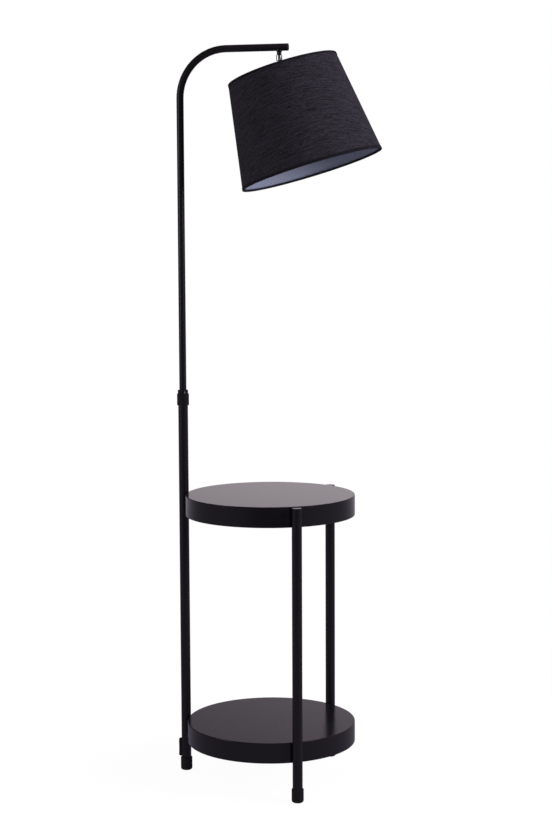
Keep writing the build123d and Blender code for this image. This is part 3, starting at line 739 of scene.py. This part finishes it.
# Painted shade in front and a painted glow towards the backdrop, seen only in reflections.
front_shade = ease(tree, from_front, *FRONT_REACH, low=FRONT_PAINTED_SHADE, high=MIRRORED_GLOW_DIM)
far_glow = ease(tree, measure(tree, "DOT_PRODUCT", place, BACKDROP_WAY), *FAR_REACH)
mirrored = calc(tree, "MULTIPLY_ADD", far_glow, FAR_PAINTED_GLOW - MIRRORED_GLOW_DIM, front_shade)
glow_tint = blend(tree, far_glow, MIRRORED_GLOW_TINT, FAR_GLOW_TINT)
seen = calc(tree, "MAXIMUM", rays["Is Camera Ray"], rays["Is Transmission Ray"])
white = calc(tree, "MULTIPLY_ADD", share, SHADOW_MAKE_UP, 1.0)
level = add(tree, "ShaderNodeMix", {"Factor": seen, "A": mirrored, "B": white}).outputs[0]
tint = blend(tree, seen, glow_tint, WHITE)
glow = add(tree, "ShaderNodeEmission", {"Color": tint, "Strength": level}).outputs[0]
lit = add(tree, "ShaderNodeMixShader", {0: share, 1: glow, 2: pale}).outputs[0]
shown = add(tree, "ShaderNodeMixShader", {0: rays["Is Glossy Ray"], 1: pale, 2: glow}).outputs[0]
mixed = add(tree, "ShaderNodeMixShader", {0: seen, 1: shown, 2: lit}).outputs[0]
add(tree, "ShaderNodeOutputMaterial", {"Surface": mixed})
floor.data.materials.append(floor_paint)


# Studio
# White backdrop behind the lamp and a dark room in front of it. A strong soft lamp and a weak
# one stand at the right, and another weak one and a small low one stand at the left.
AMBIENT = (0.29, 0.29, 0.29, 1)
BACKDROP_TINT = (1.0, 0.91, 0.97)
BACKDROP_LEAST = 0.3
BACKDROP_TOP = (0.11, 0.305)
BACKDROP_SLOPE = (-0.3, -0.069, 1)
ROOM_TINT = (1.0, 0.91, 1.2)
CEILING_TINT = (1.0, 0.84, 1.03)
CEILING_LEVEL = (0.085, 0.3)
CEILING_SPAN = (-0.4, -0.05)
# Brightness round the room, from straight in front of the lamp (0) to straight behind it (1).
ROUND_LEVEL = (
    (0.0, 0.05),
    (0.35, 0.06),
    (0.5, 0.14),
    (0.8, 0.2),
    (0.91, 0.27),
    (0.975, 0.5),
    (1.0, 0.91),
)


def softbox(name, place, aim, size, power, mirrored=True):
    """Rectangular lamp with a soft edge, aimed at a point, which the coat mirrors or not."""
    data = bpy.data.lights.new(name, "AREA")
    data.shape = "RECTANGLE"
    data.size, data.size_y = size
    data.energy = power
    lamp = bpy.data.objects.new(name, data)
    lamp.location = place
    lamp.rotation_mode = "QUATERNION"
    lamp.rotation_quaternion = (Vector(aim) - Vector(place)).to_track_quat("-Z", "Y")
    lamp.visible_glossy = mirrored
    bpy.context.scene.collection.objects.link(lamp)


world = bpy.data.worlds.new("studio")
bpy.context.scene.world = world
world.use_nodes = True
tree = world.node_tree
tree.nodes.clear()
rays = add(tree, "ShaderNodeLightPath").outputs
way = add(tree, "ShaderNodeTexCoord").outputs["Generated"]
rise = measure(tree, "DOT_PRODUCT", way, BACKDROP_SLOPE)
above = ease(tree, rise, *BACKDROP_TOP)
level_way = add(tree, "ShaderNodeVectorMath", {0: way, 1: (1, 1, 0)}, operation="MULTIPLY").outputs[0]
heading = add(tree, "ShaderNodeVectorMath", {0: level_way}, operation="NORMALIZE").outputs[0]
facing = measure(tree, "DOT_PRODUCT", heading, BACKDROP_WAY)
around = add(tree, "ShaderNodeValToRGB", {"Fac": calc(tree, "MULTIPLY_ADD", facing, 0.5, 0.5)})
stops = around.color_ramp.elements
for spot, _ in ROUND_LEVEL[1:-1]:
    stops.new(spot)
for stop, (_, bright) in zip(stops, ROUND_LEVEL):
    tint = BACKDROP_TINT if bright > BACKDROP_LEAST else ROOM_TINT
    stop.color = (*[bright * value for value in tint], 1)
ceiling_ramp = {
    "Value": add(tree, "ShaderNodeSeparateXYZ", {0: way}).outputs["X"],
    "From Min": CEILING_SPAN[0],
    "From Max": CEILING_SPAN[1],
    "To Min": CEILING_LEVEL[0],
    "To Max": CEILING_LEVEL[1],
}
ceiling_level = add(tree, "ShaderNodeMapRange", ceiling_ramp).outputs["Result"]
ceiling = scaled(tree, CEILING_TINT, ceiling_level)
mirror = blend(tree, above, around.outputs["Color"], ceiling)
lit = blend(tree, rays["Is Glossy Ray"], AMBIENT, mirror)
seen = calc(tree, "MAXIMUM", rays["Is Camera Ray"], rays["Is Transmission Ray"])
colour = blend(tree, seen, lit, WHITE)
sky = add(tree, "ShaderNodeBackground", {"Color": colour, "Strength": 1.0})
add(tree, "ShaderNodeOutputWorld", {"Surface": sky.outputs[0]})

softbox(
    "key_lamp",
    place=(3.4, -0.3, 1.65),
    aim=(0.2, 0, 1.4),
    size=(1.6, 1.8),
    power=75,
    mirrored=False,
)
softbox(
    "side_lamp",
    place=(3.27, -0.94, 1.85),
    aim=(0, 0, 1.3),
    size=(0.9, 1.6),
    power=9,
)
softbox(
    "fill_lamp",
    place=(-2.7, -2.3, 1.45),
    aim=(0.2, 0, 1.2),
    size=(1.4, 1.5),
    power=13,
)
softbox(
    "low_lamp",
    place=(-1.6, -2.0, 0.3),
    aim=(0.3, 0, 1.4),
    size=(1.0, 0.5),
    power=7,
    mirrored=False,
)


# Camera
# The photograph's own place and lens: about four metres off and at three quarters of the
# lamp's height, a little to the right of straight in front of the table.
TABLE_MIDDLE = (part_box("tray")[0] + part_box("tray")[1]) / 2
DISTANCE = 3.968
AZIMUTH = radians(13.7)
EYE_HEIGHT = 1.2566
PITCH = radians(6.08)
YAW = radians(0.2)
ROLL = radians(-0.26)
LENS_PIXELS = 1787.1
IMAGE_TALL = 823
SENSOR = 36.0
eye = Vector((TABLE_MIDDLE.x + DISTANCE * sin(AZIMUTH), -DISTANCE * cos(AZIMUTH), EYE_HEIGHT))
heading = Vector((sin(YAW - AZIMUTH), cos(YAW - AZIMUTH), 0))
upright = Vector((0, 0, 1))
forward = heading * cos(PITCH) - upright * sin(PITCH)
right = heading.cross(upright)
up = right.cross(forward)
rolled_right = right * cos(ROLL) + up * sin(ROLL)
rolled_up = up * cos(ROLL) - right * sin(ROLL)
camera = bpy.data.objects.new("camera", bpy.data.cameras.new("camera"))
bpy.context.scene.collection.objects.link(camera)
camera.data.sensor_width = SENSOR
camera.data.lens = LENS_PIXELS * SENSOR / IMAGE_TALL
turn = Matrix((rolled_right, rolled_up, -forward)).transposed().to_4x4()
camera.matrix_world = Matrix.Translation(eye) @ turn
bpy.context.scene.camera = camera
bpy.context.scene.view_settings.view_transform = "Standard"
